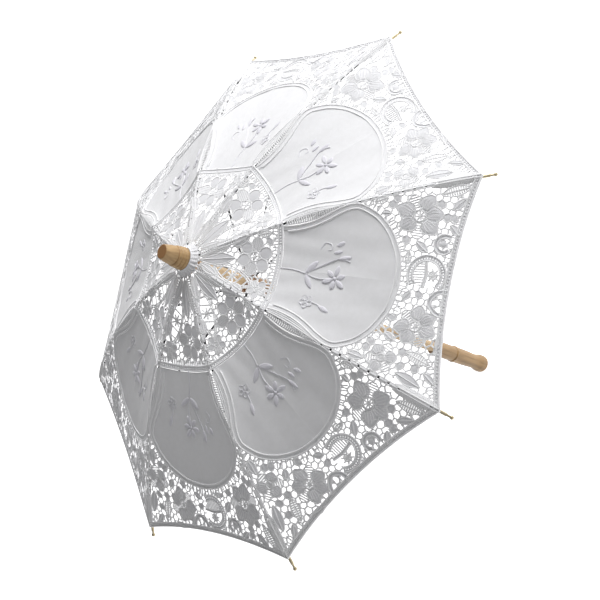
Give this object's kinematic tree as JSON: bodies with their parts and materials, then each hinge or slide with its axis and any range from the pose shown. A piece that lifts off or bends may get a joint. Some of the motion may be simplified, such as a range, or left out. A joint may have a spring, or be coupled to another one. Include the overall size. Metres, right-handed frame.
{
  "type": "lace parasol",
  "caption": "Open parasol with a lace canopy on hinged ribs and stretchers, a sliding wooden runner, a straight shaft, a turned ferrule and a turned wooden handle.",
  "frame": {"origin": "centre of the flat butt of the handle, on the shaft's axis", "axes": "+Z along the shaft towards the ferrule, +X along rib 1; ribs are numbered anticlockwise seen from above"},
  "size_m": [0.5806, 0.5806, 0.49],
  "materials": {
    "wood": "satin turned beech, clear varnish",
    "steel": "plain steel",
    "dark_wire": "black enamelled spring wire",
    "tip_metal": "pale satin brass",
    "lace": "white cotton tape lace",
    "petal_cloth": "white plain-weave cotton with white embroidery"
  },
  "bodies": {
    "root": {"shaft": "wood", "ferrule": "wood", "handle": "wood", "top_notch": "wood", "notch_wire": "steel", "notch_pin": "steel", "crown_cap": "lace", "stop_pin": "steel", "upper_catch_pin": "steel", "lower_catch_pin": "steel"},
    "upper_catch": {"upper_catch": "steel"},
    "lower_catch": {"lower_catch": "steel"},
    "runner": {"runner": "wood", "runner_wire": "steel"},
    "rib_1": {"rib_1": "dark_wire", "rib_tip_1": "tip_metal"},
    "stretcher_1": {"stretcher_1": "dark_wire"},
    "canopy_1_left": {"canopy_1_left": "lace"},
    "canopy_1_right": {"canopy_1_right": "lace"},
    "rib_2": {"rib_2": "dark_wire", "rib_tip_2": "tip_metal"},
    "stretcher_2": {"stretcher_2": "dark_wire"},
    "canopy_2_left": {"canopy_2_left": "lace"},
    "canopy_2_right": {"canopy_2_right": "lace"},
    "rib_3": {"rib_3": "dark_wire", "rib_tip_3": "tip_metal"},
    "stretcher_3": {"stretcher_3": "dark_wire"},
    "canopy_3_left": {"canopy_3_left": "lace"},
    "canopy_3_right": {"canopy_3_right": "lace"},
    "rib_4": {"rib_4": "dark_wire", "rib_tip_4": "tip_metal"},
    "stretcher_4": {"stretcher_4": "dark_wire"},
    "canopy_4_left": {"canopy_4_left": "lace"},
    "canopy_4_right": {"canopy_4_right": "lace"},
    "rib_5": {"rib_5": "dark_wire", "rib_tip_5": "tip_metal"},
    "stretcher_5": {"stretcher_5": "dark_wire"},
    "canopy_5_left": {"canopy_5_left": "lace"},
    "canopy_5_right": {"canopy_5_right": "lace"},
    "rib_6": {"rib_6": "dark_wire", "rib_tip_6": "tip_metal"},
    "stretcher_6": {"stretcher_6": "dark_wire"},
    "canopy_6_left": {"canopy_6_left": "lace"},
    "canopy_6_right": {"canopy_6_right": "lace"},
    "rib_7": {"rib_7": "dark_wire", "rib_tip_7": "tip_metal"},
    "stretcher_7": {"stretcher_7": "dark_wire"},
    "canopy_7_left": {"canopy_7_left": "lace"},
    "canopy_7_right": {"canopy_7_right": "lace"},
    "rib_8": {"rib_8": "dark_wire", "rib_tip_8": "tip_metal"},
    "stretcher_8": {"stretcher_8": "dark_wire"},
    "canopy_8_left": {"canopy_8_left": "lace"},
    "canopy_8_right": {"canopy_8_right": "lace"}
  },
  "joints": [
    {"name": "canopy_fold", "type": "hinge", "parent": "root", "child": "rib_1", "pos_m": [0.0095, 0, 0.4565], "axis": [0, 1, 0], "range_deg": [0, 65]},
    {"name": "stretcher_1_pivot", "type": "hinge", "parent": "rib_1", "child": "stretcher_1", "pos_m": [0.14653, 0, 0.41841], "axis": [0, 1, 0], "range_deg": [-130, 0]},
    {"name": "canopy_1_left_fold", "type": "hinge", "parent": "rib_1", "child": "canopy_1_left", "pos_m": [0.15, 0, 0.41244], "axis": [0.9258, 0, -0.3779], "range_deg": [0, 69], "deforming": ["canopy_1_left"]},
    {"name": "canopy_1_right_fold", "type": "hinge", "parent": "rib_1", "child": "canopy_1_right", "pos_m": [0.15, 0, 0.41244], "axis": [-0.9258, 0, 0.3779], "range_deg": [0, 69], "deforming": ["canopy_1_right"]},
    {"name": "rib_2_hinge", "type": "hinge", "parent": "root", "child": "rib_2", "pos_m": [0.00672, 0.00672, 0.4565], "axis": [-0.7071, 0.7071, 0], "range_deg": [0, 65]},
    {"name": "stretcher_2_pivot", "type": "hinge", "parent": "rib_2", "child": "stretcher_2", "pos_m": [0.10361, 0.10361, 0.41841], "axis": [-0.7071, 0.7071, 0], "range_deg": [-130, 0]},
    {"name": "canopy_2_left_fold", "type": "hinge", "parent": "rib_2", "child": "canopy_2_left", "pos_m": [0.10607, 0.10607, 0.41244], "axis": [0.6547, 0.6547, -0.3779], "range_deg": [0, 69], "deforming": ["canopy_2_left"]},
    {"name": "canopy_2_right_fold", "type": "hinge", "parent": "rib_2", "child": "canopy_2_right", "pos_m": [0.10607, 0.10607, 0.41244], "axis": [-0.6547, -0.6547, 0.3779], "range_deg": [0, 69], "deforming": ["canopy_2_right"]},
    {"name": "rib_3_hinge", "type": "hinge", "parent": "root", "child": "rib_3", "pos_m": [0, 0.0095, 0.4565], "axis": [-1, 0, 0], "range_deg": [0, 65]},
    {"name": "stretcher_3_pivot", "type": "hinge", "parent": "rib_3", "child": "stretcher_3", "pos_m": [0, 0.14653, 0.41841], "axis": [-1, 0, 0], "range_deg": [-130, 0]},
    {"name": "canopy_3_left_fold", "type": "hinge", "parent": "rib_3", "child": "canopy_3_left", "pos_m": [0, 0.15, 0.41244], "axis": [0, 0.9258, -0.3779], "range_deg": [0, 69], "deforming": ["canopy_3_left"]},
    {"name": "canopy_3_right_fold", "type": "hinge", "parent": "rib_3", "child": "canopy_3_right", "pos_m": [0, 0.15, 0.41244], "axis": [0, -0.9258, 0.3779], "range_deg": [0, 69], "deforming": ["canopy_3_right"]},
    {"name": "rib_4_hinge", "type": "hinge", "parent": "root", "child": "rib_4", "pos_m": [-0.00672, 0.00672, 0.4565], "axis": [-0.7071, -0.7071, 0], "range_deg": [0, 65]},
    {"name": "stretcher_4_pivot", "type": "hinge", "parent": "rib_4", "child": "stretcher_4", "pos_m": [-0.10361, 0.10361, 0.41841], "axis": [-0.7071, -0.7071, 0], "range_deg": [-130, 0]},
    {"name": "canopy_4_left_fold", "type": "hinge", "parent": "rib_4", "child": "canopy_4_left", "pos_m": [-0.10607, 0.10607, 0.41244], "axis": [-0.6547, 0.6547, -0.3779], "range_deg": [0, 69], "deforming": ["canopy_4_left"]},
    {"name": "canopy_4_right_fold", "type": "hinge", "parent": "rib_4", "child": "canopy_4_right", "pos_m": [-0.10607, 0.10607, 0.41244], "axis": [0.6547, -0.6547, 0.3779], "range_deg": [0, 69], "deforming": ["canopy_4_right"]},
    {"name": "rib_5_hinge", "type": "hinge", "parent": "root", "child": "rib_5", "pos_m": [-0.0095, 0, 0.4565], "axis": [0, -1, 0], "range_deg": [0, 65]},
    {"name": "stretcher_5_pivot", "type": "hinge", "parent": "rib_5", "child": "stretcher_5", "pos_m": [-0.14653, 0, 0.41841], "axis": [0, -1, 0], "range_deg": [-130, 0]},
    {"name": "canopy_5_left_fold", "type": "hinge", "parent": "rib_5", "child": "canopy_5_left", "pos_m": [-0.15, 0, 0.41244], "axis": [-0.9258, 0, -0.3779], "range_deg": [0, 69], "deforming": ["canopy_5_left"]},
    {"name": "canopy_5_right_fold", "type": "hinge", "parent": "rib_5", "child": "canopy_5_right", "pos_m": [-0.15, 0, 0.41244], "axis": [0.9258, 0, 0.3779], "range_deg": [0, 69], "deforming": ["canopy_5_right"]},
    {"name": "rib_6_hinge", "type": "hinge", "parent": "root", "child": "rib_6", "pos_m": [-0.00672, -0.00672, 0.4565], "axis": [0.7071, -0.7071, 0], "range_deg": [0, 65]},
    {"name": "stretcher_6_pivot", "type": "hinge", "parent": "rib_6", "child": "stretcher_6", "pos_m": [-0.10361, -0.10361, 0.41841], "axis": [0.7071, -0.7071, 0], "range_deg": [-130, 0]},
    {"name": "canopy_6_left_fold", "type": "hinge", "parent": "rib_6", "child": "canopy_6_left", "pos_m": [-0.10607, -0.10607, 0.41244], "axis": [-0.6547, -0.6547, -0.3779], "range_deg": [0, 69], "deforming": ["canopy_6_left"]},
    {"name": "canopy_6_right_fold", "type": "hinge", "parent": "rib_6", "child": "canopy_6_right", "pos_m": [-0.10607, -0.10607, 0.41244], "axis": [0.6547, 0.6547, 0.3779], "range_deg": [0, 69], "deforming": ["canopy_6_right"]},
    {"name": "rib_7_hinge", "type": "hinge", "parent": "root", "child": "rib_7", "pos_m": [0, -0.0095, 0.4565], "axis": [1, 0, 0], "range_deg": [0, 65]},
    {"name": "stretcher_7_pivot", "type": "hinge", "parent": "rib_7", "child": "stretcher_7", "pos_m": [0, -0.14653, 0.41841], "axis": [1, 0, 0], "range_deg": [-130, 0]},
    {"name": "canopy_7_left_fold", "type": "hinge", "parent": "rib_7", "child": "canopy_7_left", "pos_m": [0, -0.15, 0.41244], "axis": [0, -0.9258, -0.3779], "range_deg": [0, 69], "deforming": ["canopy_7_left"]},
    {"name": "canopy_7_right_fold", "type": "hinge", "parent": "rib_7", "child": "canopy_7_right", "pos_m": [0, -0.15, 0.41244], "axis": [0, 0.9258, 0.3779], "range_deg": [0, 69], "deforming": ["canopy_7_right"]},
    {"name": "rib_8_hinge", "type": "hinge", "parent": "root", "child": "rib_8", "pos_m": [0.00672, -0.00672, 0.4565], "axis": [0.7071, 0.7071, 0], "range_deg": [0, 65]},
    {"name": "stretcher_8_pivot", "type": "hinge", "parent": "rib_8", "child": "stretcher_8", "pos_m": [0.10361, -0.10361, 0.41841], "axis": [0.7071, 0.7071, 0], "range_deg": [-130, 0]},
    {"name": "canopy_8_left_fold", "type": "hinge", "parent": "rib_8", "child": "canopy_8_left", "pos_m": [0.10607, -0.10607, 0.41244], "axis": [0.6547, -0.6547, -0.3779], "range_deg": [0, 69], "deforming": ["canopy_8_left"]},
    {"name": "canopy_8_right_fold", "type": "hinge", "parent": "rib_8", "child": "canopy_8_right", "pos_m": [0.10607, -0.10607, 0.41244], "axis": [-0.6547, 0.6547, 0.3779], "range_deg": [0, 69], "deforming": ["canopy_8_right"]},
    {"name": "runner_pivot", "type": "hinge", "parent": "stretcher_1", "child": "runner", "pos_m": [0.0095, 0, 0.38032], "axis": [0, 1, 0], "range_deg": [0, 65]},
    {"name": "upper_catch_press", "type": "hinge", "parent": "root", "child": "upper_catch", "pos_m": [0, -0.0015, 0.32792], "axis": [-1, 0, 0], "range_deg": [0, 5], "stiffness_Nm_per_rad": 0.05, "springref_deg": -5.73, "deforming": ["upper_catch"]},
    {"name": "lower_catch_press", "type": "hinge", "parent": "root", "child": "lower_catch", "pos_m": [0, -0.0015, 0.17742], "axis": [1, 0, 0], "range_deg": [0, 5], "stiffness_Nm_per_rad": 0.05, "springref_deg": -5.73, "deforming": ["lower_catch"]}
  ],
  "couplings": [
    {"joint": "stretcher_1_pivot", "follows": "canopy_fold", "ratio": -2},
    {"joint": "canopy_1_left_fold", "follows": "canopy_fold", "ratio": 1.0569},
    {"joint": "canopy_1_right_fold", "follows": "canopy_fold", "ratio": 1.0569},
    {"joint": "rib_2_hinge", "follows": "canopy_fold", "ratio": 1},
    {"joint": "stretcher_2_pivot", "follows": "canopy_fold", "ratio": -2},
    {"joint": "canopy_2_left_fold", "follows": "canopy_fold", "ratio": 1.0569},
    {"joint": "canopy_2_right_fold", "follows": "canopy_fold", "ratio": 1.0569},
    {"joint": "rib_3_hinge", "follows": "canopy_fold", "ratio": 1},
    {"joint": "stretcher_3_pivot", "follows": "canopy_fold", "ratio": -2},
    {"joint": "canopy_3_left_fold", "follows": "canopy_fold", "ratio": 1.0569},
    {"joint": "canopy_3_right_fold", "follows": "canopy_fold", "ratio": 1.0569},
    {"joint": "rib_4_hinge", "follows": "canopy_fold", "ratio": 1},
    {"joint": "stretcher_4_pivot", "follows": "canopy_fold", "ratio": -2},
    {"joint": "canopy_4_left_fold", "follows": "canopy_fold", "ratio": 1.0569},
    {"joint": "canopy_4_right_fold", "follows": "canopy_fold", "ratio": 1.0569},
    {"joint": "rib_5_hinge", "follows": "canopy_fold", "ratio": 1},
    {"joint": "stretcher_5_pivot", "follows": "canopy_fold", "ratio": -2},
    {"joint": "canopy_5_left_fold", "follows": "canopy_fold", "ratio": 1.0569},
    {"joint": "canopy_5_right_fold", "follows": "canopy_fold", "ratio": 1.0569},
    {"joint": "rib_6_hinge", "follows": "canopy_fold", "ratio": 1},
    {"joint": "stretcher_6_pivot", "follows": "canopy_fold", "ratio": -2},
    {"joint": "canopy_6_left_fold", "follows": "canopy_fold", "ratio": 1.0569},
    {"joint": "canopy_6_right_fold", "follows": "canopy_fold", "ratio": 1.0569},
    {"joint": "rib_7_hinge", "follows": "canopy_fold", "ratio": 1},
    {"joint": "stretcher_7_pivot", "follows": "canopy_fold", "ratio": -2},
    {"joint": "canopy_7_left_fold", "follows": "canopy_fold", "ratio": 1.0569},
    {"joint": "canopy_7_right_fold", "follows": "canopy_fold", "ratio": 1.0569},
    {"joint": "rib_8_hinge", "follows": "canopy_fold", "ratio": 1},
    {"joint": "stretcher_8_pivot", "follows": "canopy_fold", "ratio": -2},
    {"joint": "canopy_8_left_fold", "follows": "canopy_fold", "ratio": 1.0569},
    {"joint": "canopy_8_right_fold", "follows": "canopy_fold", "ratio": 1.0569},
    {"joint": "runner_pivot", "follows": "canopy_fold", "ratio": 1}
  ]
}
